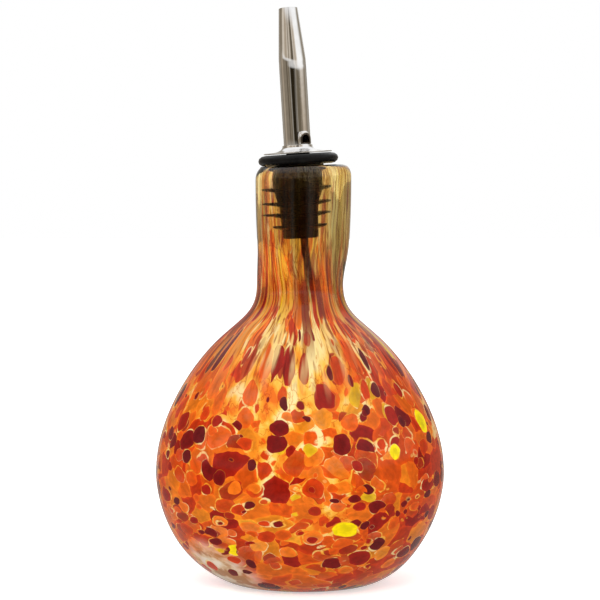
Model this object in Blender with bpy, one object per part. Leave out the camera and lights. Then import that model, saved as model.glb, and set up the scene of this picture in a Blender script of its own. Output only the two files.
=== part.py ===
"""A hand-blown glass cruet with a chromed pourer held in its neck by a finned rubber stopper.

Metres, +Z up. The origin is the middle of the flat ring that the bottle stands on. The bottle is one
piece of blown glass. The pourer is a spout tube with its stem, a collar brazed round it, a vent tube
inside it and the moulded stopper that holds it. The pourer leans a little, as pushed in by hand.
"""

import math

import bmesh
import bpy
from mathutils import Matrix, Vector
from mathutils.geometry import interpolate_bezier

# The blown bottle, outside
BOTTLE_HEIGHT = 0.1491
BASE_RADIUS = 0.0246
BASE_LEAN_ANGLE = math.radians(17.0)
BODY_RADIUS = 0.0517
BODY_WIDEST_HEIGHT = 0.0402
SHOULDER_RADIUS = 0.0298
SHOULDER_HEIGHT = 0.0867
SHOULDER_LEAN_ANGLE = math.radians(46.5)
THROAT_RADIUS = 0.0154
THROAT_HEIGHT = 0.1067
NECK_RADIUS = 0.0171
LIP_ROUND_HEIGHT = 0.0045
LIP_TOP_SHARE = 0.20
LIP_INNER_HEIGHT = 0.0016

# The blown bottle, inside and underneath
BODY_WALL = 0.0030
FLOOR_RADIUS = 0.0200
FLOOR_THICKNESS = 0.0070
THROAT_BORE_RADIUS = 0.0122
MOUTH_BORE_RADIUS = 0.0131
PUNT_RADIUS = 0.0190
PUNT_DEPTH = 0.0020

# What the hand-blowing leaves uneven: the foot is off centre, the neck's outside and its bore drift
# opposite ways, and the lip ends up higher on one side
FOOT_DRIFT = 0.0010
FOOT_DRIFT_RISE = 0.0150
NECK_DRIFT = 0.0012
BORE_DRIFT = -0.0005
NECK_DRIFT_RISE = 0.0150
LIP_RISE = 0.0006

# Lengths of the outline's curve handles, as shares of the run, rise or chord that each one follows
BASE_HANDLE_SHARE = 0.73
WIDEST_LOWER_HANDLE_SHARE = 0.33
WIDEST_UPPER_HANDLE_SHARE = 0.42
SHOULDER_LOWER_HANDLE_SHARE = 0.224
SHOULDER_UPPER_HANDLE_SHARE = 0.495
THROAT_HANDLE_SHARE = 0.405
NECK_LOWER_HANDLE_SHARE = 0.15
NECK_UPPER_HANDLE_SHARE = 0.60

# The pourer as a whole, and the gaps between pieces that touch
POURER_LEAN_ANGLE = math.radians(3.5)
POURER_SEAT_RISE = 0.0002
COLLAR_GAP = 0.0003
FIT_GAP = 0.0002

# The moulded rubber stopper
RIM_RADIUS = 0.01425
RIM_THICKNESS = 0.00385
RIM_EDGE_LENGTH = 0.0026
STOPPER_DEPTH = 0.0258
PLUG_RADIUS = 0.0089
CORE_TOP_RADIUS = 0.0068
CORE_BOTTOM_RADIUS = 0.0063
CORE_CHAMFER = 0.0005
FIN_DEPTHS = (0.0088, 0.0138, 0.0177)
FIN_ROOT_THICKNESS = 0.0013
FIN_TIP_THICKNESS = 0.0006
FIN_DISH = 0.0006
FIN_GAP = 0.0004
END_FIN_DEPTH = 0.0220
END_FIN_RADIUS = 0.0100

# The spout tube with its stem
SPOUT_RADIUS = 0.0048
STEM_RADIUS = 0.0042
TIP_RADIUS = 0.00335
TUBE_WALL = 0.0005
STEM_GAP = 0.00006
STEM_RECESS = 0.0004
BEND_HEIGHT = 0.0364
BEND_LENGTH = 0.0016
BEND_ANGLE = math.radians(6.0)
BEND_TURN_ANGLE = math.radians(10.0)
TIP_LENGTH = 0.0193

# The pressed collar
COLLAR_RADIUS = 0.0121
COLLAR_EDGE = 0.0004
COLLAR_HEIGHT = 0.0029
COLLAR_TOP_LAND = 0.0003
COLLAR_EDGE_HANDLE_SHARE = 0.80
COLLAR_TOP_HANDLE_SHARE = 0.65

# The vent: a tube inside the stem that turns out and flares into a hooded window in the spout's foot
VENT_TURN_ANGLE = math.radians(38.0)
VENT_RADIUS = 0.0014
VENT_BORE_RADIUS = 0.0010
VENT_DROP = 0.0235
VENT_WINDOW_GAP = 0.00015
HOOD_HALF_WIDTH = 0.0026
HOOD_RIM_WIDTH = 0.00045
HOOD_PROUD = 0.00055
HOOD_LEG = 0.0017

# How finely the round pieces are divided
BOTTLE_SIDES = 48
POURER_SIDES = 36
VENT_SIDES = 16
ARCH_SIDES = 24
CURVE_STEPS = 10
ROUND_STEPS = 6
ELBOW_STEPS = 6
CUT_OVERRUN = 0.0010
WELD_DISTANCE = 0.000001
SMOOTH_ANGLE = math.radians(40.0)

# The glass colour is the mean of its amber ground and its orange and red frit
GLASS_COLOUR = (0.80, 0.30, 0.06, 1.0)
RUBBER_COLOUR = (0.018, 0.017, 0.017, 1.0)
CHROME_COLOUR = (0.72, 0.70, 0.68, 1.0)
STEEL_COLOUR = (0.45, 0.42, 0.40, 1.0)


def clear_scene():
    for thing in list(bpy.data.objects):
        bpy.data.objects.remove(thing)


def finish_material(name, colour, roughness, metallic=0.0, transmission=0.0):
    material = bpy.data.materials.new(name)
    material.use_nodes = True
    shader = material.node_tree.nodes["Principled BSDF"]
    shader.inputs["Base Color"].default_value = colour
    shader.inputs["Roughness"].default_value = roughness
    shader.inputs["Metallic"].default_value = metallic
    shader.inputs["Transmission Weight"].default_value = transmission
    return material


def curve_points(start, start_pull, end_pull, end, steps=CURVE_STEPS):
    """Points of one curve from start to end, as (radius, height), each end drawn by its pull."""
    start, end = Vector(start).to_3d(), Vector(end).to_3d()
    start_handle = start + Vector(start_pull).to_3d()
    end_handle = end + Vector(end_pull).to_3d()
    found = interpolate_bezier(start, start_handle, end_handle, end, steps)
    return [(point.x, point.y) for point in found]


def mesh_object(name, shape, material, parent=None):
    """An object from a bmesh, with one material, shaded smooth but for its sharp edges."""
    bmesh.ops.remove_doubles(shape, verts=shape.verts, dist=WELD_DISTANCE)
    bmesh.ops.recalc_face_normals(shape, faces=shape.faces)
    mesh = bpy.data.meshes.new(name)
    shape.to_mesh(mesh)
    shape.free()
    mesh.shade_smooth()
    mesh.set_sharp_from_angle(angle=SMOOTH_ANGLE)
    made = bpy.data.objects.new(name, mesh)
    bpy.context.scene.collection.objects.link(made)
    if material:
        mesh.materials.append(material)
    made.parent = parent
    return made


def spin_profile(profile, sides, closed):
    """A bmesh turned round Z from (radius, height) points, whose ends lie on the axis if not closed."""
    shape = bmesh.new()
    points = [shape.verts.new((radius, 0, height)) for radius, height in profile]
    pairs = list(zip(points, points[1:]))
    if closed:
        pairs.append((points[-1], points[0]))
    edges = [shape.edges.new(pair) for pair in pairs]
    bmesh.ops.spin(
        shape,
        geom=points + edges,
        axis=(0, 0, 1),
        cent=(0, 0, 0),
        steps=sides,
        angle=math.tau,
        use_merge=True,
    )
    return shape


def cutter(thing):
    """Marks an object as a guide that shapes another and is no piece itself."""
    thing.hide_render = True
    thing.display_type = "WIRE"
    return thing


def combine(thing, operand, operation):
    modifier = thing.modifiers.new(operand.name, "BOOLEAN")
    modifier.operation = operation
    modifier.object = operand


def body_outline(foot, widest, shoulder, throat, top):
    """One side of the bottle's wall from its foot to the top of the neck."""
    up = Vector((0, 1))
    incline = Vector((-math.sin(SHOULDER_LEAN_ANGLE), math.cos(SHOULDER_LEAN_ANGLE)))
    from_foot = Vector((math.cos(BASE_LEAN_ANGLE), math.sin(BASE_LEAN_ANGLE)))
    foot, widest, shoulder, throat, top = map(Vector, (foot, widest, shoulder, throat, top))
    lower_chord = (shoulder - widest).length
    upper_chord = (throat - shoulder).length
    stretches = (
        (
            foot,
            from_foot * (widest.x - foot.x) * BASE_HANDLE_SHARE,
            -up * (widest.y - foot.y) * WIDEST_LOWER_HANDLE_SHARE,
            widest,
        ),
        (
            widest,
            up * (shoulder.y - widest.y) * WIDEST_UPPER_HANDLE_SHARE,
            -incline * lower_chord * SHOULDER_LOWER_HANDLE_SHARE,
            shoulder,
        ),
        (
            shoulder,
            incline * upper_chord * SHOULDER_UPPER_HANDLE_SHARE,
            -up * upper_chord * THROAT_HANDLE_SHARE,
            throat,
        ),
        (
            throat,
            up * (top.y - throat.y) * NECK_LOWER_HANDLE_SHARE,
            -up * (top.y - throat.y) * NECK_UPPER_HANDLE_SHARE,
            top,
        ),
    )
    points = [tuple(foot)]
    for stretch in stretches:
        points += curve_points(*stretch)[1:]
    return points


def ease(share):
    """A share held between none and all, with a soft start and end."""
    share = min(max(share, 0), 1)
    return share * share * (3 - 2 * share)


def neck_top():
    return BOTTLE_HEIGHT - LIP_ROUND_HEIGHT


def mouth_height():
    return BOTTLE_HEIGHT - LIP_INNER_HEIGHT


def bore_radius(height):
    """The neck's bore, which opens steadily from the throat to the mouth."""
    share = (height - THROAT_HEIGHT) / (mouth_height() - THROAT_HEIGHT)
    return THROAT_BORE_RADIUS + (MOUTH_BORE_RADIUS - THROAT_BORE_RADIUS) * share


def lip_points():
    """The fire-polished lip, from the neck's outside over its highest ring to the bore."""
    wall = NECK_RADIUS - MOUTH_BORE_RADIUS
    ring = MOUTH_BORE_RADIUS + wall * LIP_TOP_SHARE
    points = []
    for step in range(1, ROUND_STEPS + 1):
        turn = math.pi / 2 * step / ROUND_STEPS
        across, rise = (NECK_RADIUS - ring) * math.cos(turn), LIP_ROUND_HEIGHT * math.sin(turn)
        points.append((ring + across, neck_top() + rise))
    for step in range(1, ROUND_STEPS):
        turn = math.pi / 2 * step / ROUND_STEPS
        across, rise = (ring - MOUTH_BORE_RADIUS) * math.sin(turn), LIP_INNER_HEIGHT * math.cos(turn)
        points.append((ring - across, mouth_height() + rise))
    return points


def make_bottle(material):
    """The blown bottle: its outside, round lip, bore and floor turned as one closed wall."""
    outer = body_outline(
        (BASE_RADIUS, 0),
        (BODY_RADIUS, BODY_WIDEST_HEIGHT),
        (SHOULDER_RADIUS, SHOULDER_HEIGHT),
        (THROAT_RADIUS, THROAT_HEIGHT),
        (NECK_RADIUS, neck_top()),
    )
    inner = body_outline(
        (FLOOR_RADIUS, FLOOR_THICKNESS),
        (BODY_RADIUS - BODY_WALL, BODY_WIDEST_HEIGHT),
        (
            SHOULDER_RADIUS - BODY_WALL * math.cos(SHOULDER_LEAN_ANGLE),
            SHOULDER_HEIGHT - BODY_WALL * math.sin(SHOULDER_LEAN_ANGLE),
        ),
        (THROAT_BORE_RADIUS, THROAT_HEIGHT),
        (MOUTH_BORE_RADIUS, mouth_height()),
    )
    # The bore above the throat is a plain cone, which is what the stopper's fins fit
    inner = [
        (bore_radius(height) if height > THROAT_HEIGHT else radius, height)
        for radius, height in inner
    ]
    punt = [(0, PUNT_DEPTH)]
    for step in range(1, ROUND_STEPS + 1):
        turn = math.pi / 2 * step / ROUND_STEPS
        punt.append((PUNT_RADIUS * math.sin(turn), PUNT_DEPTH * (1 + math.cos(2 * turn)) / 2))
    profile = punt + outer + lip_points() + inner[::-1] + [(0, FLOOR_THICKNESS)]
    shape = spin_profile(profile, BOTTLE_SIDES, closed=False)
    for point in shape.verts:
        let_drift(point)
    return mesh_object("glass_bottle", shape, material)


def let_drift(point):
    """Shifts a point of the foot or neck sideways, and the lip up or down, as the blowing left them."""
    foot_share = ease(1 - point.co.z / FOOT_DRIFT_RISE)
    neck_share = ease((point.co.z - THROAT_HEIGHT) / NECK_DRIFT_RISE)
    radius = math.hypot(point.co.x, point.co.y)
    bore = bore_radius(point.co.z)
    through_wall = min(max((radius - bore) / (THROAT_RADIUS - bore), 0), 1)
    lift_share = min(max((point.co.z - THROAT_HEIGHT) / (neck_top() - THROAT_HEIGHT), 0), 1)
    point.co.z += LIP_RISE * lift_share * point.co.x / NECK_RADIUS
    point.co.x += foot_share * FOOT_DRIFT
    point.co.x += neck_share * (BORE_DRIFT + (NECK_DRIFT - BORE_DRIFT) * through_wall)


def make_pourer_frame():
    """The leaning frame that carries the pourer: its origin is under the middle of the stopper's rim."""
    frame = bpy.data.objects.new("pourer_frame", None)
    bpy.context.scene.collection.objects.link(frame)
    frame.location = (BORE_DRIFT, 0, BOTTLE_HEIGHT + POURER_SEAT_RISE)
    frame.rotation_euler = (0, -POURER_LEAN_ANGLE, 0)
    return frame


def core_radius(depth):
    """The stopper's core under its rim: a plug, a cone between the first two fins, then a taper."""
    if depth <= FIN_DEPTHS[0]:
        return PLUG_RADIUS
    if depth <= FIN_DEPTHS[1]:
        share = (depth - FIN_DEPTHS[0]) / (FIN_DEPTHS[1] - FIN_DEPTHS[0])
        return PLUG_RADIUS + (CORE_TOP_RADIUS - PLUG_RADIUS) * share
    share = (depth - FIN_DEPTHS[1]) / (STOPPER_DEPTH - FIN_DEPTHS[1])
    return CORE_TOP_RADIUS + (CORE_BOTTOM_RADIUS - CORE_TOP_RADIUS) * share


def fin_profile(depth, radius):
    """One thin dished fin, from its lower root round its tip to its upper root."""
    half_root, half_tip = FIN_ROOT_THICKNESS / 2, FIN_TIP_THICKNESS / 2
    return [
        (core_radius(depth + half_root), -depth - half_root),
        (radius, -depth + FIN_DISH - half_tip),
        (radius, -depth + FIN_DISH + half_tip),
        (core_radius(depth - half_root), -depth + half_root),
    ]


def fin_radius(depth):
    """A fin fills the bore at its own height, but for its gap."""
    return bore_radius(BOTTLE_HEIGHT + POURER_SEAT_RISE - depth) - FIN_GAP


def make_stopper(frame, material):
    """The moulded stopper: a rim that rests on the lip, a plug, three sealing fins and an end fin."""
    bore = STEM_RADIUS + STEM_GAP
    half_rim = RIM_THICKNESS / 2
    profile = [
        (bore, -STOPPER_DEPTH),
        (CORE_BOTTOM_RADIUS - CORE_CHAMFER, -STOPPER_DEPTH),
        (CORE_BOTTOM_RADIUS, -STOPPER_DEPTH + CORE_CHAMFER),
    ]
    profile += fin_profile(END_FIN_DEPTH, END_FIN_RADIUS)
    for depth in reversed(FIN_DEPTHS):
        profile += fin_profile(depth, fin_radius(depth))
    profile.append((PLUG_RADIUS, 0))
    for step in range(ROUND_STEPS + 1):
        turn = math.pi * step / ROUND_STEPS
        reach = RIM_RADIUS - RIM_EDGE_LENGTH * (1 - math.sin(turn))
        profile.append((reach, half_rim * (1 - math.cos(turn))))
    profile.append((bore, RIM_THICKNESS))
    shape = spin_profile(profile, POURER_SIDES, closed=True)
    # The soft fins follow the upright bore while the core leans in it
    for point in shape.verts:
        depth = -point.co.z
        radius = math.hypot(point.co.x, point.co.y)
        root = core_radius(depth) if depth > 0 else radius
        if radius > root + FIN_TIP_THICKNESS and depth < END_FIN_DEPTH - FIN_ROOT_THICKNESS:
            point.co.x -= depth * math.tan(POURER_LEAN_ANGLE)
    return mesh_object("finned_stopper", shape, material, frame)


def collar_foot():
    return RIM_THICKNESS + COLLAR_GAP


def collar_top():
    return collar_foot() + COLLAR_HEIGHT


def make_collar(frame, material):
    """The pressed collar: a thin disc over the rim that sweeps up to the foot of the spout."""
    bore = SPOUT_RADIUS + FIT_GAP
    edge = (COLLAR_RADIUS, collar_foot() + COLLAR_EDGE)
    top = (bore + COLLAR_TOP_LAND, collar_top())
    sweep = curve_points(
        edge,
        ((top[0] - edge[0]) * COLLAR_EDGE_HANDLE_SHARE, 0),
        (0, (edge[1] - top[1]) * COLLAR_TOP_HANDLE_SHARE),
        top,
    )
    profile = [(bore, collar_foot()), (COLLAR_RADIUS, collar_foot())]
    profile += sweep + [(bore, collar_top())]
    shape = spin_profile(profile, POURER_SIDES, closed=True)
    return mesh_object("spout_collar", shape, material, frame)


def bend_tip(point):
    """Turns what lies above the bend backwards, easing in over the bend's length."""
    start = BEND_HEIGHT - BEND_LENGTH / 2
    share = min(max((point.co.z - start) / BEND_LENGTH, 0), 1)
    if share == 0:
        return
    back = Vector((-math.sin(BEND_TURN_ANGLE), math.cos(BEND_TURN_ANGLE), 0))
    turn = Matrix.Rotation(BEND_ANGLE * share, 4, Vector((0, 0, 1)).cross(back))
    pivot = Vector((0, 0, start + BEND_LENGTH / 2 * share))
    point.co = pivot + turn @ (point.co - pivot)


def make_spout(frame, material):
    """The spout tube: a stem through the stopper, a shoulder on it, a straight foot and a bent tip."""
    foot = -STOPPER_DEPTH + STEM_RECESS
    shoulder = collar_foot()
    bend_start = BEND_HEIGHT - BEND_LENGTH / 2
    bend_end = BEND_HEIGHT + BEND_LENGTH / 2
    tip = BEND_HEIGHT + TIP_LENGTH
    profile = [
        (STEM_RADIUS - TUBE_WALL, foot),
        (STEM_RADIUS, foot),
        (STEM_RADIUS, shoulder),
        (SPOUT_RADIUS, shoulder),
        (SPOUT_RADIUS, bend_start),
        (SPOUT_RADIUS, BEND_HEIGHT),
        (SPOUT_RADIUS, bend_end),
        (TIP_RADIUS, tip),
        (TIP_RADIUS - TUBE_WALL, tip),
        (SPOUT_RADIUS - TUBE_WALL, bend_end),
        (SPOUT_RADIUS - TUBE_WALL, BEND_HEIGHT),
        (SPOUT_RADIUS - TUBE_WALL, bend_start),
        (SPOUT_RADIUS - TUBE_WALL, shoulder + TUBE_WALL),
        (STEM_RADIUS - TUBE_WALL, shoulder + TUBE_WALL),
    ]
    shape = spin_profile(profile, POURER_SIDES, closed=True)
    for point in shape.verts:
        bend_tip(point)
    spout = mesh_object("pour_spout", shape, material, frame)
    combine(spout, make_hood(frame), "UNION")
    combine(spout, make_window_cutter(frame), "DIFFERENCE")
    return spout


def vent_outward():
    """The side of the spout that the vent opens on: the front, turned towards +X."""
    return Vector((math.sin(VENT_TURN_ANGLE), -math.cos(VENT_TURN_ANGLE), 0))


def vent_height():
    return collar_top() + FIT_GAP + HOOD_LEG


def arch_points(half_width, leg, sides):
    """An arch as (sideways, up) points round the vent's height: half a circle over a square foot."""
    points = []
    for side in range(sides):
        turn = math.tau * side / sides
        across, rise = math.cos(turn), math.sin(turn)
        if side <= sides // 2:
            points.append((half_width * across, half_width * rise))
        else:
            square = 1 / max(abs(across), abs(rise))
            points.append((half_width * across * square, leg * rise * square))
    return points


def make_arch(name, half_width, leg, frame):
    """A guide with an arched outline that runs out from the spout's axis through its vent side."""
    shape = bmesh.new()
    outward, up = vent_outward(), Vector((0, 0, 1))
    side = outward.cross(up)
    reach = outward * (SPOUT_RADIUS + HOOD_PROUD + CUT_OVERRUN)
    corners = [
        shape.verts.new(side * x + up * (vent_height() + z))
        for x, z in arch_points(half_width, leg, ARCH_SIDES)
    ]
    face = shape.faces.new(corners)
    pushed = bmesh.ops.extrude_face_region(shape, geom=[face])["geom"]
    moved = [part for part in pushed if isinstance(part, bmesh.types.BMVert)]
    bmesh.ops.translate(shape, verts=moved, vec=reach)
    return cutter(mesh_object(name, shape, None, frame))


def make_hood(frame):
    """The arched hood round the vent, pressed out of the spout's foot, before it is cut open."""
    low = vent_height() - HOOD_LEG
    high = vent_height() + HOOD_HALF_WIDTH + CUT_OVERRUN
    within_wall = SPOUT_RADIUS - TUBE_WALL / 2
    face = SPOUT_RADIUS + HOOD_PROUD
    ring = [(within_wall, low), (face, low), (face, high), (within_wall, high)]
    shape = spin_profile(ring, POURER_SIDES, closed=True)
    hood = cutter(mesh_object("hood_guide", shape, None, frame))
    leg = HOOD_LEG + CUT_OVERRUN
    combine(hood, make_arch("hood_outline_guide", HOOD_HALF_WIDTH, leg, frame), "INTERSECT")
    return hood


def make_window_cutter(frame):
    """The arched window through the hood and the spout's wall."""
    return make_arch("vent_window_cutter", HOOD_HALF_WIDTH - HOOD_RIM_WIDTH, HOOD_LEG, frame)


def vent_stations():
    """The vent tube's centre line as (centre, flare), up the stem and out through the window.

    The flare runs from none, a round tube, to all, an arched mouth that fills the window.
    """
    outward, up = vent_outward(), Vector((0, 0, 1))
    offset = STEM_RADIUS - TUBE_WALL - FIT_GAP - VENT_RADIUS
    bend = SPOUT_RADIUS - TUBE_WALL - offset
    elbow_centre = outward * (offset + bend) + up * (vent_height() - bend)
    stations = [(outward * offset - up * (STOPPER_DEPTH + VENT_DROP), 0)]
    for step in range(ELBOW_STEPS + 1):
        turn = math.pi / 2 * step / ELBOW_STEPS
        centre = elbow_centre - outward * bend * math.cos(turn) + up * bend * math.sin(turn)
        stations.append((centre, (step / ELBOW_STEPS) ** 2))
    mouth = outward * (SPOUT_RADIUS + HOOD_PROUD / 2) + up * vent_height()
    stations.append((mouth, 1))
    return stations


def make_vent_tube(frame, material):
    """The vent tube, swept along its path as a skin and thickened inwards to its wall."""
    stations = vent_stations()
    across = vent_outward().cross(Vector((0, 0, 1)))
    half_width = HOOD_HALF_WIDTH - HOOD_RIM_WIDTH - VENT_WINDOW_GAP
    arch = arch_points(half_width, HOOD_LEG - VENT_WINDOW_GAP, VENT_SIDES)
    circle = [
        (VENT_RADIUS * math.cos(math.tau * side / VENT_SIDES),
         VENT_RADIUS * math.sin(math.tau * side / VENT_SIDES))
        for side in range(VENT_SIDES)
    ]
    shape = bmesh.new()
    rings = []
    for number, (centre, flare) in enumerate(stations):
        before = stations[max(number - 1, 0)][0]
        after = stations[min(number + 1, len(stations) - 1)][0]
        rise = across.cross((after - before).normalized())
        ring = []
        for (round_x, round_z), (arch_x, arch_z) in zip(circle, arch):
            x = round_x + (arch_x - round_x) * flare
            z = round_z + (arch_z - round_z) * flare
            ring.append(shape.verts.new(centre + across * x + rise * z))
        rings.append(ring)
    for lower, upper in zip(rings, rings[1:]):
        for side in range(VENT_SIDES):
            after = (side + 1) % VENT_SIDES
            shape.faces.new((lower[side], lower[after], upper[after], upper[side]))
    tube = mesh_object("vent_tube", shape, material, frame)
    wall = tube.modifiers.new("wall", "SOLIDIFY")
    wall.thickness = VENT_RADIUS - VENT_BORE_RADIUS
    wall.offset = -1
    return tube


def main():
    clear_scene()
    glass = finish_material("frit_glass", GLASS_COLOUR, 0.05, transmission=0.8)
    rubber = finish_material("black_rubber", RUBBER_COLOUR, 0.45)
    chrome = finish_material("spout_chrome", CHROME_COLOUR, 0.08, metallic=1.0)
    steel = finish_material("vent_steel", STEEL_COLOUR, 0.3, metallic=1.0)
    make_bottle(glass)
    frame = make_pourer_frame()
    make_stopper(frame, rubber)
    make_collar(frame, chrome)
    make_spout(frame, chrome)
    make_vent_tube(frame, steel)


main()
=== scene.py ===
import math

import bpy
import numpy as np
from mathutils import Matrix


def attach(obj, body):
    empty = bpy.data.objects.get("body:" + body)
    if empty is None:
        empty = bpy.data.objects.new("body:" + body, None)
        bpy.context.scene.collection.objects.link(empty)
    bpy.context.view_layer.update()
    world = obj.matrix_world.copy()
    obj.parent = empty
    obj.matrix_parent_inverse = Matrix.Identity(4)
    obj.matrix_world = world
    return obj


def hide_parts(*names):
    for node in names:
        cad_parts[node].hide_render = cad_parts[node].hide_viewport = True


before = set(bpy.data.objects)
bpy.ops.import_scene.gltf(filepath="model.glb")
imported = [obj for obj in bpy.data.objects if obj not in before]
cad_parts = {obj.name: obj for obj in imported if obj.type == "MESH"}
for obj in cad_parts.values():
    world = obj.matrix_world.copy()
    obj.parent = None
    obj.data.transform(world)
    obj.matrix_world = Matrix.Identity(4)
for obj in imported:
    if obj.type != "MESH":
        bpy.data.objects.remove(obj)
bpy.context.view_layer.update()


# The bottle: one piece of blown soda glass. The hot gather is rolled in chips of orange, red and
# yellow glass, blown round, and drawn out into a neck that stretches the chips into thin streaks.
# It is cut off at the neck, and its lip is melted round in the flame.
WIDEST_HEIGHT = 0.0402
WIDEST_RADIUS = 0.0517
THROAT_HEIGHT = 0.1067
LIP_HEIGHT = 0.1491
NECK_STRETCH = 8.0
SHOULDER_SLOPE = 0.45
SETTLED_RADIUS = 0.058
SETTLED_SPREAD = 0.22
GATHER_TOP = LIP_HEIGHT + 0.001
GATHER_LEVELS = 400
MERGE_REACH = 0.000002
QUAD_ANGLE = math.radians(60)
GLASS_ROUNDING = 2


def take_copy(node_name, piece_name):
    """A copy of a turned solid's mesh, with its triangles joined into clean rings of quads."""
    bpy.ops.object.select_all(action="DESELECT")
    piece = bpy.data.objects.new(piece_name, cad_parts[node_name].data.copy())
    bpy.context.scene.collection.objects.link(piece)
    piece.data.materials.clear()
    piece.select_set(True)
    bpy.context.view_layer.objects.active = piece
    bpy.ops.mesh.customdata_custom_splitnormals_clear()
    bpy.ops.object.mode_set(mode="EDIT")
    bpy.ops.mesh.select_all(action="SELECT")
    bpy.ops.mesh.remove_doubles(threshold=MERGE_REACH)
    bpy.ops.mesh.tris_convert_to_quads(face_threshold=QUAD_ANGLE, shape_threshold=QUAD_ANGLE)
    bpy.ops.object.mode_set(mode="OBJECT")
    return piece


def smooth_out(piece, levels):
    """Rounds a piece with a subdivision surface and shades it smooth."""
    rounding = piece.modifiers.new("rounding", "SUBSURF")
    rounding.levels = levels
    rounding.render_levels = levels
    bpy.ops.object.modifier_apply(modifier=rounding.name)
    bpy.ops.object.shade_smooth()


def add_node(tree, kind, inputs=None, **settings):
    """Adds a shader node. An input given as a socket is linked, and any other is set."""
    node = tree.nodes.new("ShaderNode" + kind)
    for name, value in settings.items():
        setattr(node, name, value)
    for name, value in (inputs or {}).items():
        if isinstance(value, bpy.types.NodeSocket):
            tree.links.new(value, node.inputs[name])
        else:
            node.inputs[name].default_value = value
    return node


def arithmetic(tree, operation, first, second=0.0, third=0.0):
    """One step of arithmetic on sockets or numbers."""
    return add_node(tree, "Math", {0: first, 1: second, 2: third}, operation=operation).outputs[0]


def span(tree, value, low, high, start=0.0, end=1.0):
    """Takes value from low..high to start..end with soft ends."""
    inputs = {"Value": value, "From Min": low, "From Max": high, "To Min": start, "To Max": end}
    return add_node(tree, "MapRange", inputs, interpolation_type="SMOOTHSTEP").outputs["Result"]


def tint(tree, share, under, over, blend="MIX"):
    """Lays one colour over another by a share."""
    inputs = {0: share, 6: under, 7: over}
    mixed = add_node(tree, "Mix", inputs, data_type="RGBA", blend_type=blend, clamp_factor=True)
    return mixed.outputs[2]


def shades(tree, value, stops, interpolation="LINEAR"):
    """A colour for each value, from (place, colour) stops."""
    ramp = add_node(tree, "ValToRGB", {"Fac": value})
    ramp.color_ramp.interpolation = interpolation
    while len(ramp.color_ramp.elements) < len(stops):
        ramp.color_ramp.elements.new(0.5)
    for element, (place, colour) in zip(ramp.color_ramp.elements, stops):
        element.position = place
        element.color = (*colour, 1.0)
    return ramp.outputs["Color"]


def new_finish(name):
    """An empty material with its shader and output joined."""
    material = bpy.data.materials.new(name)
    material.use_nodes = True
    tree = material.node_tree
    return material, tree, tree.nodes["Principled BSDF"]


bottle = take_copy("glass_bottle", "blown_bottle")
smooth_out(bottle, GLASS_ROUNDING)


def gather_places(mesh):
    """Where each point of the glass lay on the gather before it was blown and drawn out."""
    places = np.empty(len(mesh.vertices) * 3)
    mesh.vertices.foreach_get("co", places)
    x, y, z = places.reshape(-1, 3).T
    turn = np.arctan2(y, x)
    radius = np.hypot(x, y)
    levels = np.linspace(WIDEST_HEIGHT, GATHER_TOP, GATHER_LEVELS)
    rise = np.clip((levels - WIDEST_HEIGHT) / (THROAT_HEIGHT - WIDEST_HEIGHT), 0, 1)
    stretch = 1 + (NECK_STRETCH - 1) * rise ** 3
    slope = 1 + SHOULDER_SLOPE * np.sin(np.pi * rise) ** 2
    drawn = np.concatenate([[0], np.cumsum(np.diff(levels) * (slope / stretch)[1:])])
    below = np.arctan2(radius / WIDEST_RADIUS, np.maximum(WIDEST_HEIGHT - z, 0) / WIDEST_HEIGHT)
    around = np.where(z < WIDEST_HEIGHT, np.sin(below), 1.0) * WIDEST_RADIUS
    around *= np.where(z < WIDEST_HEIGHT, 1 - SETTLED_SPREAD * (1 - np.sin(below)), 1.0)
    up = np.where(z < WIDEST_HEIGHT, -np.cos(below) * SETTLED_RADIUS, np.interp(z, levels, drawn))
    return np.stack([around * np.cos(turn), around * np.sin(turn), up], axis=1)


gather = bottle.data.attributes.new("gather", "FLOAT_VECTOR", "POINT")
gather.data.foreach_set("vector", gather_places(bottle.data).ravel().astype(np.float32))


def inner_wall(mesh):
    """1 for points of the bore, cavity and floor, and 0 for points of the outside and foot."""
    places = np.empty(len(mesh.vertices) * 3)
    normals = np.empty(len(mesh.vertices) * 3)
    mesh.vertices.foreach_get("co", places)
    mesh.vertices.foreach_get("normal", normals)
    outward = places.reshape(-1, 3) * (1, 1, 0)
    outward[:, 2] = np.minimum(places[2::3] - WIDEST_HEIGHT, 0)
    return ((outward * normals.reshape(-1, 3)).sum(axis=1) < 0).astype(np.float32)


inside = bottle.data.attributes.new("inside", "FLOAT", "POINT")
inside.data.foreach_set("value", inner_wall(bottle.data))

# The colours of the glass, as light shines through it
CREAM = (1.0, 0.80, 0.36)
STRAW = (1.0, 0.57, 0.08)
GOLD = (0.95, 0.36, 0.025)
AMBER = (0.88, 0.25, 0.012)
LIGHT_ORANGE = (0.86, 0.17, 0.010)
ORANGE = (0.76, 0.095, 0.006)
RED_ORANGE = (0.60, 0.045, 0.005)
RED = (0.36, 0.014, 0.006)
GARNET = (0.20, 0.007, 0.007)
MAROON = (0.13, 0.007, 0.009)
YELLOW = (0.96, 0.74, 0.002)
OCHRE = (0.72, 0.42, 0.010)
NECK_GOLD = (0.93, 0.52, 0.065)
NECK_AMBER = (0.86, 0.55, 0.10)
NECK_OLIVE = (0.80, 0.68, 0.27)
NECK_PALE = (1.0, 0.92, 0.60)
SMOKE = (0.24, 0.030, 0.014)
SODA_GLASS = (0.75, 0.64, 0.25)
SODA_DEPTH = 80.0
LINING_WHITE = (1.0, 0.97, 0.88)
HAZE_BROWN = (0.52, 0.27, 0.11)
HAZE_TAN = (0.86, 0.68, 0.44)
HAZE_WHITE = (1.0, 0.92, 0.76)
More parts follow.
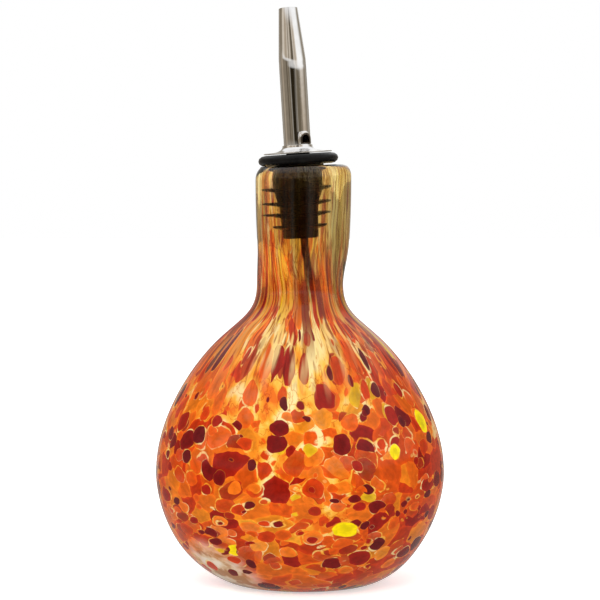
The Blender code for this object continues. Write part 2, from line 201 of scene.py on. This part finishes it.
# Tints that darken the colour under them, and those that leave it nearly as it is
UNTINTED = (1.0, 1.0, 1.0)
LINE_PALE_TINT = (1.0, 1.0, 0.90)
UNSTAINED_TINT = (1.0, 1.0, 0.96)
WISP_TINT = (0.74, 0.44, 0.26)
SIDE_SHADE_TINT = (0.90, 0.52, 0.40)
LINE_TINT = (0.50, 0.29, 0.17)
VEIN_TINT = (0.24, 0.13, 0.06)
STAIN_TINT = (0.62, 0.44, 0.24)
# The heights over which each change in the glass comes in or goes out. A falling pair counts down
FOOT_CROWDING = (0.024, 0.010)
PARTING_START = (0.050, 0.070)
PARTING_END = (0.097, 0.084)
FINE_LINE_START = (0.064, 0.086)
LONG_LINE_START = (0.066, 0.094)
LINE_GOLD_START = (0.080, 0.100)
SWAY_START = (0.074, 0.104)
SMOKE_START = (0.078, 0.096)
SMOKE_END = (0.150, 0.134)
NECK_GLASS_START = (0.108, 0.137)
STOPPER_PALING = (0.116, 0.136)
CLEARING = (0.090, 0.114)
FROST_END = (0.108, 0.080)
LINING_START = (0.080, 0.115)
LINING_PALING = (0.090, 0.115)
RIPPLE_EASING = (0.088, 0.110)
# How far to the left or right of the middle the cream parts and lines end, and where the painted shade
# that deepens the colour at the sides comes in. The cream parts end there as painted shade too
PARTING_SIDE_SHADE = (0.012, 0.030)
LINE_SIDE = (0.023, 0.008)
SIDE_SHADE_START = (0.040, 0.064)
SIDE_SHADE_RISE = 0.45
# The thin left and thick right of the neck, and the patch by the foot that has few chips
NECK_LEFT_TO_RIGHT = (-0.010, 0.012)
OLIVE_START = (-0.004, 0.014)
BARE_MIDDLE = (-0.028, -0.026, 0.005)
BARE_REACH = (0.029, 0.018)

glass, tree, shader = new_finish("frit_glass")
place = add_node(tree, "Attribute", attribute_name="gather").outputs["Vector"]
inner = add_node(tree, "Attribute", attribute_name="inside").outputs["Fac"]
object_place = add_node(tree, "TexCoord").outputs["Object"]
apart = add_node(tree, "SeparateXYZ", {"Vector": object_place})
height = apart.outputs["Z"]


def noise_of(vector, scale, detail=1.0, offset=(0.0, 0.0, 0.0)):
    """A soft noise with so many waves to the metre. The offset keeps it apart from the others."""
    moved = add_node(tree, "VectorMath", {0: vector, 1: offset}, operation="ADD").outputs["Vector"]
    return add_node(tree, "TexNoise", {"Vector": moved, "Scale": scale, "Detail": detail})


def drift_by(vector, scale, reach, by=None):
    """Pushes places about by a soft noise, as the glass flowed while it was hot."""
    noise = noise_of(by or vector, scale).outputs["Color"]
    centred = add_node(tree, "VectorMath", {0: noise, 1: (0.5, 0.5, 0.5)}, operation="SUBTRACT")
    push = add_node(tree, "VectorMath", {0: centred.outputs["Vector"], "Scale": reach}, operation="SCALE")
    inputs = {0: vector, 1: push.outputs["Vector"]}
    return add_node(tree, "VectorMath", inputs, operation="ADD").outputs["Vector"]


def squash(vector, upward):
    """Squeezes places in height, so that what is strewn over them stands tall."""
    inputs = {0: vector, 1: (1.0, 1.0, upward)}
    return add_node(tree, "VectorMath", inputs, operation="MULTIPLY").outputs["Vector"]


sway = span(tree, height, *SWAY_START, 0.0, 0.024)
place = drift_by(place, 50.0, sway, squash(object_place, 0.6))
flowed = drift_by(drift_by(place, 40.0, 0.008), 230.0, 0.0020)
mottle = noise_of(flowed, 520.0, 2.0, (0.1, 0.5, 0.3)).outputs["Fac"]
veined = noise_of(place, 150.0, 2.0, (0.7, 0.2, 0.9)).outputs["Fac"]
melt = shades(
    tree, noise_of(flowed, 105.0, 4.0, (0.4, 0.9, 0.2)).outputs["Fac"],
    [(0.36, LIGHT_ORANGE), (0.44, GOLD), (0.51, STRAW), (0.60, CREAM)],
)
wisp = noise_of(flowed, 240.0, 3.0, (0.3, 0.6, 0.1)).outputs["Fac"]
wisps = shades(tree, wisp, [(0.47, UNTINTED), (0.50, WISP_TINT), (0.53, UNTINTED)])
melt = tint(tree, 1.0, melt, wisps, "MULTIPLY")


def chips_of(size, offset, feature="F1"):
    """One size of chip, strewn at random over the gather. Lengths in it count in chip sizes."""
    moved = add_node(tree, "VectorMath", {0: flowed, 1: offset}, operation="ADD").outputs["Vector"]
    inputs = {"Vector": moved, "Scale": 1 / size, "Randomness": 0.95}
    return add_node(tree, "TexVoronoi", inputs, feature=feature)


def shade_chip(chance, depth, palette):
    """A colour for each chip, a little deeper towards its middle."""
    shade = shades(tree, chance, palette, "CONSTANT")
    deep = span(tree, depth, 0.0, 0.35, 1.14, 0.82)
    deep = arithmetic(tree, "MULTIPLY", deep, span(tree, mottle, 0.3, 0.7, 0.86, 1.12))
    grey = add_node(tree, "CombineColor", {0: deep, 1: deep, 2: deep}).outputs[0]
    return tint(tree, 1.0, shade, grey, "MULTIPLY")


def lay_chips(under, size, offset, reach, share, palette, rim, opacity=1.0):
    """Lays chips over the glass, each in a rim of melt. Reach is their least and greatest radius."""
    spots = chips_of(size, offset)
    chance = add_node(tree, "SeparateColor", {"Color": spots.outputs["Color"]})
    there = arithmetic(tree, "LESS_THAN", chance.outputs[2], share)
    radius = span(tree, chance.outputs[1], 0.0, 1.0, reach[0], reach[1])
    within = arithmetic(tree, "SUBTRACT", radius, spots.outputs["Distance"])
    cover = arithmetic(tree, "MULTIPLY", span(tree, within, 0.0, 0.03, 0.0, opacity), there)
    near = arithmetic(tree, "ADD", within, span(tree, veined, 0.44, 0.66, -0.01, rim))
    edge = arithmetic(tree, "MULTIPLY", span(tree, near, -0.02, 0.02, 0.0, 0.85), there)
    under = tint(tree, edge, under, melt)
    return tint(tree, cover, under, shade_chip(chance.outputs[0], within, palette))


# The first chips lie so close that the melt shows only as veins, and as stars where they part
GROUND_CHIP = 0.0084
nearest = chips_of(GROUND_CHIP, (0.0, 0.0, 0.0))
second = chips_of(GROUND_CHIP, (0.0, 0.0, 0.0), "F2")
parted = arithmetic(tree, "SUBTRACT", second.outputs["Distance"], nearest.outputs["Distance"])
beside = arithmetic(tree, "ABSOLUTE", apart.outputs["X"])
opening = span(tree, height, *PARTING_START, 0.0, 0.20)
opening = arithmetic(tree, "MULTIPLY", opening, span(tree, height, *PARTING_END))
# Painted shade: fewer cream parts towards the left and right, so that the sides read deeper
opening = arithmetic(tree, "SUBTRACT", opening, span(tree, beside, *PARTING_SIDE_SHADE, 0.0, 0.20))
opening = arithmetic(tree, "SUBTRACT", opening, span(tree, height, *FOOT_CROWDING, 0.0, 0.15))
patchy = arithmetic(tree, "ADD", noise_of(place, 46.0, 2.0, (0.6, 0.3, 0.8)).outputs["Fac"], opening)
parted = arithmetic(tree, "SUBTRACT", parted, span(tree, patchy, 0.40, 0.76, -0.07, 0.46))
chance = add_node(tree, "SeparateColor", {"Color": nearest.outputs["Color"]})
ground = shade_chip(
    chance.outputs[0], parted,
    [(0.0, LIGHT_ORANGE), (0.24, ORANGE), (0.52, RED_ORANGE), (0.76, AMBER), (0.86, GOLD), (0.93, RED)],
)
colour = tint(tree, span(tree, parted, 0.0, 0.06), melt, ground)
colour = lay_chips(
    colour, size=0.0080, offset=(0.31, 0.17, 0.05), reach=(0.36, 0.62), share=0.55,
    palette=[(0.0, ORANGE), (0.34, LIGHT_ORANGE), (0.56, RED_ORANGE), (0.84, AMBER), (0.93, RED)],
    rim=0.06, opacity=0.92,
)
colour = lay_chips(
    colour, size=0.0064, offset=(0.13, 0.71, 0.27), reach=(0.34, 0.60), share=0.45,
    palette=[(0.0, RED_ORANGE), (0.30, ORANGE), (0.58, LIGHT_ORANGE), (0.76, RED), (0.94, OCHRE)],
    rim=0.07, opacity=0.94,
)

# Painted shade: the colour is deepened and reddened towards the left and right, and sooner higher up, as
# the glass looks darker where it is seen slantwise
side_shade_way = arithmetic(tree, "MULTIPLY_ADD", height, SIDE_SHADE_RISE, beside)
side_painted_shade = span(tree, side_shade_way, *SIDE_SHADE_START, 0.0, 0.55)
colour = tint(tree, side_painted_shade, colour, (*SIDE_SHADE_TINT, 1.0), "MULTIPLY")

# One low patch by the foot was left nearly bare of chips
from_patch = add_node(tree, "VectorMath", {0: object_place, 1: BARE_MIDDLE}, operation="DISTANCE")
ragged = span(tree, patchy, 0.3, 0.7, 0.010, -0.010)
bare_way = arithmetic(tree, "ADD", from_patch.outputs["Value"], ragged)
bare = span(tree, bare_way, *BARE_REACH, 0.0, 0.92)
haze = noise_of(flowed, 150.0, 3.0, (0.8, 0.1, 0.6)).outputs["Fac"]
haze = shades(tree, haze, [(0.40, HAZE_BROWN), (0.49, HAZE_TAN), (0.60, HAZE_WHITE)])
colour = tint(tree, bare, colour, haze)

# The last chips are the dark ones, a few large yellow ones, and crumbs
colour = lay_chips(
    colour, size=0.0082, offset=(0.47, 0.23, 0.61), reach=(0.26, 0.54), share=0.42,
    palette=[(0.0, MAROON), (0.22, GARNET), (0.56, RED), (0.88, RED_ORANGE)], rim=0.07,
)
colour = lay_chips(
    colour, size=0.0105, offset=(0.83, 0.41, 0.22), reach=(0.26, 0.40), share=0.055,
    palette=[(0.0, YELLOW), (0.6, OCHRE)], rim=0.05,
)
colour = lay_chips(
    colour, size=0.0046, offset=(0.19, 0.37, 0.83), reach=(0.20, 0.50), share=0.20,
    palette=[(0.0, GARNET), (0.35, RED), (0.60, ORANGE), (0.85, MAROON)], rim=-0.01,
)

# Up the neck the chips thin out into streaks in an amber glass, which is olive where it is thick
long_place = squash(place, 0.3)
line = noise_of(long_place, 210.0, 1.0, (0.2, 0.6, 0.4)).outputs["Fac"]
line_share = span(tree, line, 0.50, 0.62, 0.0, 0.90)
line_share = arithmetic(tree, "MULTIPLY", line_share, span(tree, height, *LONG_LINE_START))
line_share = arithmetic(tree, "MULTIPLY", line_share, span(tree, beside, *LINE_SIDE, 0.12, 1.0))
line_colour = tint(tree, span(tree, height, *LINE_GOLD_START), (*CREAM, 1.0), (*NECK_GOLD, 1.0))
colour = tint(tree, line_share, colour, line_colour)
fine_line = noise_of(long_place, 520.0, 2.0, (0.8, 0.1, 0.3)).outputs["Fac"]
fine_shade = shades(tree, fine_line, [(0.36, LINE_TINT), (0.45, UNTINTED), (0.64, LINE_PALE_TINT)])
colour = tint(tree, span(tree, height, *FINE_LINE_START), colour, fine_shade, "MULTIPLY")

# The height as the streaks feel it: they reach up unevenly, and higher on the left
streak = noise_of(long_place, 80.0, 1.0, (0.3, 0.8, 0.1)).outputs["Fac"]
thinned = arithmetic(tree, "ADD", height, span(tree, streak, 0.30, 0.70, -0.024, 0.024))
to_right = span(tree, apart.outputs["X"], *NECK_LEFT_TO_RIGHT, -0.003, 0.010)
thinned = arithmetic(tree, "ADD", thinned, to_right)

olive_share = span(tree, apart.outputs["X"], *OLIVE_START)
neck_glass = tint(tree, olive_share, (*NECK_AMBER, 1.0), (*NECK_OLIVE, 1.0))
pale = noise_of(long_place, 90.0, 1.0, (0.5, 0.5, 0.2)).outputs["Fac"]
pale = arithmetic(tree, "ADD", pale, span(tree, height, *STOPPER_PALING, 0.0, 0.07))
pale_share = span(tree, pale, 0.46, 0.55, 0.0, 0.92)
neck_glass = tint(tree, pale_share, neck_glass, (*NECK_PALE, 1.0))
vein = noise_of(long_place, 170.0, 3.0, (0.4, 0.2, 0.8)).outputs["Fac"]
veins = shades(tree, vein, [(0.46, UNTINTED), (0.50, VEIN_TINT), (0.54, UNTINTED)])
stained = noise_of(long_place, 62.0, 2.0, (0.1, 0.7, 0.5)).outputs["Fac"]
stains = shades(tree, stained, [(0.46, UNSTAINED_TINT), (0.60, STAIN_TINT)])
for marks in (fine_shade, veins, stains):
    neck_glass = tint(tree, 1.0, neck_glass, marks, "MULTIPLY")
neck_share = span(tree, thinned, *NECK_GLASS_START, 0.0, 0.95)
colour = tint(tree, neck_share, colour, neck_glass)
smoky = noise_of(long_place, 125.0, 1.0, (0.9, 0.4, 0.6)).outputs["Fac"]
smoke_share = span(tree, smoky, 0.53, 0.60, 0.0, 0.94)
smoke_share = arithmetic(tree, "MULTIPLY", smoke_share, span(tree, height, *SMOKE_START))
smoke_share = arithmetic(tree, "MULTIPLY", smoke_share, span(tree, thinned, *SMOKE_END))
colour = tint(tree, smoke_share, colour, (*SMOKE, 1.0))

# The inner wall is the plain gather under the chips, and shows a soft gold where they let it through
lining = noise_of(place, 60.0, 1.0, (0.2, 0.2, 0.7)).outputs["Fac"]
lining = shades(tree, lining, [(0.4, GOLD), (0.6, STRAW)])
lining = tint(tree, span(tree, height, *LINING_PALING), lining, (*LINING_WHITE, 1.0))
lining_share = arithmetic(tree, "MULTIPLY", inner, span(tree, height, *LINING_START, 0.25, 1.0))
colour = tint(tree, lining_share, colour, lining)
tree.links.new(colour, shader.inputs["Base Color"])

# The chips make the body nearly opaque, and the neck is clear. Inside, the body is a little frosted
clear = span(tree, height, *CLEARING, 0.16, 1.0)
tree.links.new(arithmetic(tree, "MAXIMUM", clear, inner), shader.inputs["Transmission Weight"])
frosted = arithmetic(tree, "MULTIPLY", span(tree, height, *FROST_END, 0.0, 0.28), inner)
tree.links.new(arithmetic(tree, "ADD", frosted, 0.02), shader.inputs["Roughness"])
shader.inputs["IOR"].default_value = 1.5
shader.inputs["Specular IOR Level"].default_value = 0.12
depth = add_node(tree, "VolumeAbsorption", {"Color": (*SODA_GLASS, 1.0), "Density": SODA_DEPTH})
tree.links.new(depth.outputs["Volume"], tree.nodes["Material Output"].inputs["Volume"])

# Long ripples run down the outside of the neck, where the hot glass was pulled
ripple = noise_of(place, 90.0, 1.0, (0.5, 0.1, 0.3)).outputs["Fac"]
ripple_depth = span(tree, height, *RIPPLE_EASING, 0.0003, 0.00016)
bump = add_node(tree, "Bump", {"Height": ripple, "Distance": ripple_depth, "Strength": 0.6})
tree.links.new(bump.outputs["Normal"], shader.inputs["Normal"])
bottle.data.materials.append(glass)
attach(bottle, "bottle")
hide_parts("glass_bottle")


# The stopper: one moulding of black rubber. Its rim rests on the lip, and its thin fins fold against
# the bore to hold the pourer.
SHARP_ANGLE = math.radians(40)
EDGE_STEPS = 2
MOULDED_EDGE = 0.00015
RUBBER_BLACK = (0.0035, 0.0032, 0.0032)
RUBBER_DARK = (0.0065, 0.0060, 0.0056)
RUBBER_BLOOM = (0.013, 0.012, 0.011)
GRAIN_DEPTH = 0.00004


def round_edges(piece, width):
    """Rounds the sharp edges of a piece as moulding or polishing leaves them, and shades it smooth."""
    rounding = piece.modifiers.new("rounding", "BEVEL")
    rounding.width = width
    rounding.segments = EDGE_STEPS
    rounding.limit_method = "ANGLE"
    rounding.angle_limit = SHARP_ANGLE
    bpy.ops.object.modifier_apply(modifier=rounding.name)
    bpy.ops.object.shade_smooth_by_angle(angle=SHARP_ANGLE)


stopper = take_copy("finned_stopper", "rubber_stopper")
round_edges(stopper, MOULDED_EDGE)
rubber, tree, shader = new_finish("black_rubber")
rubber_place = add_node(tree, "TexCoord").outputs["Object"]
bloom = noise_of(rubber_place, 260.0, 3.0).outputs["Fac"]
worn = shades(tree, bloom, [(0.35, RUBBER_BLACK), (0.60, RUBBER_DARK), (0.75, RUBBER_BLOOM)])
tree.links.new(worn, shader.inputs["Base Color"])
tree.links.new(span(tree, bloom, 0.3, 0.7, 0.20, 0.38), shader.inputs["Roughness"])
shader.inputs["Specular IOR Level"].default_value = 0.13
grain = noise_of(rubber_place, 3200.0, 2.0).outputs["Fac"]
grain_bump = add_node(tree, "Bump", {"Height": grain, "Distance": GRAIN_DEPTH, "Strength": 0.5})
tree.links.new(grain_bump.outputs["Normal"], shader.inputs["Normal"])
stopper.data.materials.append(rubber)
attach(stopper, "stopper")
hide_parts("finned_stopper")


# The spout and its collar: a drawn tube with its tip bent and its vent hood pressed out, and a disc
# pressed up to meet it. Both are plated with chrome after they are joined.
POURER_SEAT = np.array((-0.0005, 0.0, 0.1493))
POURER_LEAN = math.radians(3.5)
POURER_TURN = (0.0, POURER_LEAN, 0.0)
POURER_AXIS = np.array((-math.sin(POURER_LEAN), 0.0, math.cos(POURER_LEAN)))
CREASE_HEIGHT = 0.0364
CREASE_BEND = math.radians(6.0)
CREASE_TURN = math.radians(10.0)
CREASE_BACK = np.array((-math.sin(CREASE_TURN), math.cos(CREASE_TURN), 0.0))
CREASE_RINGS = (0.0014, 0.0020, 0.0026, 0.0032)
CREASE_REACH = 0.0030
CREASE_SHIFT = (0.0, 0.00006, 0.0)
CREASE_DRAW = (0.992, 0.992, 1.0)
CREASE_GRASP = 0.0002
HOOD_RINGS = (0.0119, 0.0125)
POLISHED_EDGE = 0.00010
PLATING_DULL = (0.86, 0.845, 0.83)
PLATING_BRIGHT = (0.93, 0.92, 0.905)
PRESSED_DEPTH = 0.00002
HAIRLINE_DEPTH = 0.000006
chrome, tree, shader = new_finish("spout_chrome")
chrome_place = add_node(tree, "TexCoord").outputs["Object"]
handled = noise_of(chrome_place, 420.0, 3.0, (0.4, 0.1, 0.2)).outputs["Fac"]
plating = shades(tree, handled, [(0.35, PLATING_DULL), (0.65, PLATING_BRIGHT)])
tree.links.new(plating, shader.inputs["Base Color"])
shader.inputs["Metallic"].default_value = 1.0
along_tube = {"Vector": chrome_place, "Rotation": POURER_TURN, "Scale": (1.0, 1.0, 0.04)}
drawn_place = add_node(tree, "Mapping", along_tube).outputs["Vector"]
hairline = noise_of(drawn_place, 5200.0, 2.0).outputs["Fac"]
smear = span(tree, handled, 0.50, 0.75, 0.012, 0.07)
smear = arithmetic(tree, "ADD", smear, span(tree, hairline, 0.62, 0.72, 0.0, 0.05))
tree.links.new(smear, shader.inputs["Roughness"])
pressed = noise_of(chrome_place, 330.0, 1.0, (0.9, 0.2, 0.5)).outputs["Fac"]
pressed_bump = add_node(tree, "Bump", {"Height": pressed, "Distance": PRESSED_DEPTH, "Strength": 0.5})
hairline_bump = add_node(tree, "Bump", {"Height": hairline, "Distance": HAIRLINE_DEPTH, "Strength": 0.4})
tree.links.new(pressed_bump.outputs["Normal"], hairline_bump.inputs["Normal"])
tree.links.new(hairline_bump.outputs["Normal"], shader.inputs["Normal"])


def cut_ring(height, bend=0.0):
    """Cuts a ring of edges square across the spout, so that its long sides shade true."""
    axis = POURER_AXIS + math.tan(bend) * CREASE_BACK
    middle = POURER_SEAT + CREASE_HEIGHT * POURER_AXIS + (height - CREASE_HEIGHT) * axis
    bpy.ops.mesh.select_all(action="SELECT")
    bpy.ops.mesh.bisect(plane_co=middle, plane_no=axis)


def round_crease(piece):
    """Cuts rings by the hood and the crease, and draws the crease's middle ring in to a soft bend."""
    bpy.ops.object.mode_set(mode="EDIT")
    for height in HOOD_RINGS:
        cut_ring(height)
    for away in CREASE_RINGS:
        cut_ring(CREASE_HEIGHT - away)
        cut_ring(CREASE_HEIGHT + away, CREASE_BEND)
    bpy.ops.mesh.select_all(action="DESELECT")
    bpy.ops.object.mode_set(mode="OBJECT")
    middle = POURER_SEAT + CREASE_HEIGHT * POURER_AXIS
    across = POURER_AXIS + math.tan(CREASE_BEND / 2) * CREASE_BACK
    for point in piece.data.vertices:
        point.select = bool(abs((np.array(point.co) - middle) @ across) < CREASE_GRASP)
    bpy.ops.object.mode_set(mode="EDIT")
    soft = {
        "use_proportional_edit": True,
        "proportional_edit_falloff": "SMOOTH",
        "proportional_size": CREASE_REACH,
    }
    bpy.ops.transform.translate(value=CREASE_SHIFT, **soft)
    bpy.ops.transform.resize(value=CREASE_DRAW, center_override=middle, **soft)
    bpy.ops.object.mode_set(mode="OBJECT")


for node_name, piece_name in (("pour_spout", "chrome_spout"), ("spout_collar", "chrome_collar")):
    piece = take_copy(node_name, piece_name)
    if node_name == "pour_spout":
        round_crease(piece)
    round_edges(piece, POLISHED_EDGE)
    piece.data.materials.append(chrome)
    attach(piece, "spout")
    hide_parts(node_name)


# The vent tube: a narrow drawn steel tube that lets air back in as the oil runs out. Its flared
# mouth is brazed into the spout's window. Its colour is painted shade, far darker than bare steel for
# the dim inside of the neck, and oil has stained it dull in patches between its two tones.
VENT_EDGE = 0.00005
# Painted shade: both steel colours are far darker than bare steel, for the tube's place in the dim neck;
# oil stains mix them
SHADED_STEEL = (0.15, 0.12, 0.095)
SHADED_STAINED_STEEL = (0.050, 0.034, 0.024)
DRAWN_DEPTH = 0.00001
steel, tree, shader = new_finish("vent_steel")
steel_place = add_node(tree, "TexCoord").outputs["Object"]
along_vent = {"Vector": steel_place, "Rotation": POURER_TURN, "Scale": (1.0, 1.0, 0.05)}
drawn_place = add_node(tree, "Mapping", along_vent).outputs["Vector"]
draw_line = noise_of(drawn_place, 4200.0, 2.0).outputs["Fac"]
stain = noise_of(steel_place, 380.0, 3.0).outputs["Fac"]
steel_stain_and_shade = shades(tree, stain, [(0.35, SHADED_STEEL), (0.65, SHADED_STAINED_STEEL)])
tree.links.new(steel_stain_and_shade, shader.inputs["Base Color"])
shader.inputs["Metallic"].default_value = 1.0
tree.links.new(span(tree, draw_line, 0.3, 0.7, 0.26, 0.44), shader.inputs["Roughness"])
draw_bump = add_node(tree, "Bump", {"Height": draw_line, "Distance": DRAWN_DEPTH, "Strength": 0.5})
tree.links.new(draw_bump.outputs["Normal"], shader.inputs["Normal"])
vent = take_copy("vent_tube", "steel_vent")
round_edges(vent, VENT_EDGE)
vent.data.materials.append(steel)
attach(vent, "spout")
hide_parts("vent_tube")


# The studio: a white floor in white air that gives most of the light, two weak soft boxes to the left
# and right behind the shoulders, and one in front from above. Only reflections see the dim room round
# it. The camera stands in front at the height of the lip.
FLOOR_SIZE = 6.0
FLOOR_MIDDLE = (0, 1.5, 0)
FLOOR_WHITE = (0.9, 0.9, 0.9)
FLOOR_GLOW = 0.55
CRUET_MIDDLE = (0, 0, 0.09)
SIDE_BOX_SIZE = (0.5, 0.8)
SIDE_BOX_POWER = 1.2
FRONT_BOX_SIZE = (0.8, 0.6)
FRONT_BOX_POWER = 7.0
CAMERA_PLACE = (0.0, -0.9, 0.1475)
CAMERA_DIP = 2.944
CAMERA_LENS = 151.7
bpy.ops.object.select_all(action="DESELECT")
bpy.ops.mesh.primitive_plane_add(size=FLOOR_SIZE, location=FLOOR_MIDDLE)
floor = bpy.context.active_object
floor.name = "studio_floor"
floor.visible_glossy = False
paper, tree, shader = new_finish("studio_paper")
shader.inputs["Base Color"].default_value = (*FLOOR_WHITE, 1.0)
shader.inputs["Roughness"].default_value = 0.9
path = add_node(tree, "LightPath")
seen = arithmetic(tree, "MAXIMUM", path.outputs["Is Camera Ray"], path.outputs["Is Glossy Ray"])
seen = arithmetic(tree, "MAXIMUM", seen, path.outputs["Is Transmission Ray"])
shader.inputs["Emission Color"].default_value = (1.0, 1.0, 1.0, 1.0)
tree.links.new(arithmetic(tree, "MULTIPLY", seen, FLOOR_GLOW), shader.inputs["Emission Strength"])
floor.data.materials.append(paper)

world = bpy.data.worlds.new("studio_air")
bpy.context.scene.world = world
world.use_nodes = True
tree = world.node_tree
path = add_node(tree, "LightPath")
toward = add_node(tree, "SeparateXYZ", {"Vector": add_node(tree, "TexCoord").outputs["Generated"]})
away = arithmetic(tree, "MULTIPLY", toward.outputs["Y"], -1.0)
round_about = arithmetic(tree, "ARCTAN2", toward.outputs["X"], away)
up = toward.outputs["Z"]

# The room as reflections see it, by bearing: 0 and 1 lie behind the cruet, and 0.5 by the camera
bearing = arithmetic(tree, "MULTIPLY_ADD", round_about, 0.5 / math.pi, 0.5)
WALL = (1.0, 1.0, 1.0)
CEILING = (0.97, 0.98, 1.0)
TABLE = (0.44, 0.42, 0.39)
LOST_IN_GLASS = 0.45
PALE = (0.66, 0.59, 0.50)
MIST = (0.62, 0.61, 0.58)
BEIGE = (0.54, 0.46, 0.36)
TAN = (0.42, 0.35, 0.27)
STONE = (0.36, 0.33, 0.285)
BROWN = (0.235, 0.195, 0.145)
OLIVE = (0.15, 0.122, 0.082)
UMBER = (0.095, 0.075, 0.050)
DARK = (0.022, 0.016, 0.008)
low_room = shades(
    tree, bearing,
    [
        (0.0, MIST), (0.025, UMBER), (0.055, PALE), (0.075, BROWN), (0.13, STONE), (0.18, BROWN),
        (0.23, TAN), (0.26, BROWN), (0.33, BROWN), (0.352, UMBER), (0.375, BROWN), (0.405, OLIVE),
        (0.428, STONE), (0.446, DARK), (0.510, DARK), (0.545, STONE), (0.58, OLIVE), (0.625, OLIVE),
        (0.665, TAN), (0.70, BEIGE), (0.735, TAN), (0.80, BROWN), (0.86, STONE), (0.925, BROWN),
        (0.945, PALE), (0.975, UMBER), (1.0, MIST),
    ],
)
high_room = shades(
    tree, bearing,
    [
        (0.0, STONE), (0.10, STONE), (0.15, BROWN), (0.225, BROWN), (0.262, PALE), (0.295, PALE),
        (0.325, TAN), (0.362, TAN), (0.388, PALE), (0.416, BROWN), (0.448, PALE), (0.482, OLIVE),
        (0.518, UMBER), (0.542, PALE), (0.575, TAN), (0.605, PALE), (0.63, WALL), (0.75, WALL),
        (0.79, MIST), (0.835, BROWN), (0.90, STONE), (0.96, WALL), (1.0, WALL),
    ],
)
room = tint(tree, span(tree, up, 0.10, 0.17), low_room, high_room)

# A pale sill runs round the front of the room between the two, under a white ceiling
sill = arithmetic(tree, "MULTIPLY", span(tree, up, 0.07, 0.13), span(tree, up, 0.22, 0.15))
before = arithmetic(tree, "ABSOLUTE", arithmetic(tree, "SUBTRACT", bearing, 0.5))
sill = arithmetic(tree, "MULTIPLY", sill, span(tree, before, 0.30, 0.20, 0.0, 0.55))
room = tint(tree, sill, room, (*WALL, 1.0))
overhead = arithmetic(tree, "MULTIPLY_ADD", before, 0.6, up)
room = tint(tree, span(tree, overhead, 0.60, 0.80), room, (*CEILING, 1.0))
room = tint(tree, span(tree, up, -0.14, -0.34), room, (*TABLE, 1.0))

# Reflections see the room, but less of it through glass, and a soft white air lights what is matt
turned = arithmetic(tree, "GREATER_THAN", path.outputs["Glossy Depth"], 0.5)
through = arithmetic(tree, "GREATER_THAN", path.outputs["Transmission Depth"], 0.5)
kept = arithmetic(tree, "MULTIPLY_ADD", through, -LOST_IN_GLASS, 1.0)
turned = arithmetic(tree, "MULTIPLY", turned, kept)
lit = arithmetic(tree, "GREATER_THAN", path.outputs["Diffuse Depth"], 0.5)
soft_air = shades(
    tree, arithmetic(tree, "MULTIPLY_ADD", toward.outputs["Y"], 0.5, 0.5),
    [(0.0, (1.0, 1.0, 1.0)), (0.5, (0.72, 0.72, 0.72)), (1.0, (0.85, 0.85, 0.85))],
)
air = tint(tree, turned, (*WALL, 1.0), room)
air = tint(tree, lit, air, soft_air)
tree.links.new(air, tree.nodes["Background"].inputs["Color"])


def soft_box(name, place, size, power):
    """A soft box that faces the middle of the cruet."""
    light = bpy.data.lights.new(name, "AREA")
    light.shape = "RECTANGLE"
    light.size, light.size_y = size
    light.energy = power
    lamp = bpy.data.objects.new(name, light)
    bpy.context.scene.collection.objects.link(lamp)
    lamp.location = place
    lamp.visible_glossy = False
    lamp.visible_transmission = False
    away = np.array(place) - np.array(CRUET_MIDDLE)
    flat = math.hypot(away[0], away[1])
    lamp.rotation_euler = (math.atan2(flat, away[2]), 0, math.atan2(away[0], -away[1]))


soft_box("left_box", (-0.9, 0.5, 0.40), SIDE_BOX_SIZE, SIDE_BOX_POWER)
soft_box("right_box", (0.9, 0.5, 0.40), SIDE_BOX_SIZE, SIDE_BOX_POWER)
soft_box("front_box", (-0.2, -1.1, 0.8), FRONT_BOX_SIZE, FRONT_BOX_POWER)

eye = bpy.data.cameras.new("photo_camera")
camera = bpy.data.objects.new("photo_camera", eye)
bpy.context.scene.collection.objects.link(camera)
eye.lens = CAMERA_LENS
eye.sensor_width = 36.0
camera.location = CAMERA_PLACE
camera.rotation_euler = (math.radians(90 - CAMERA_DIP), 0.0, 0.0)
bpy.context.scene.camera = camera
bpy.context.scene.view_settings.view_transform = "Standard"
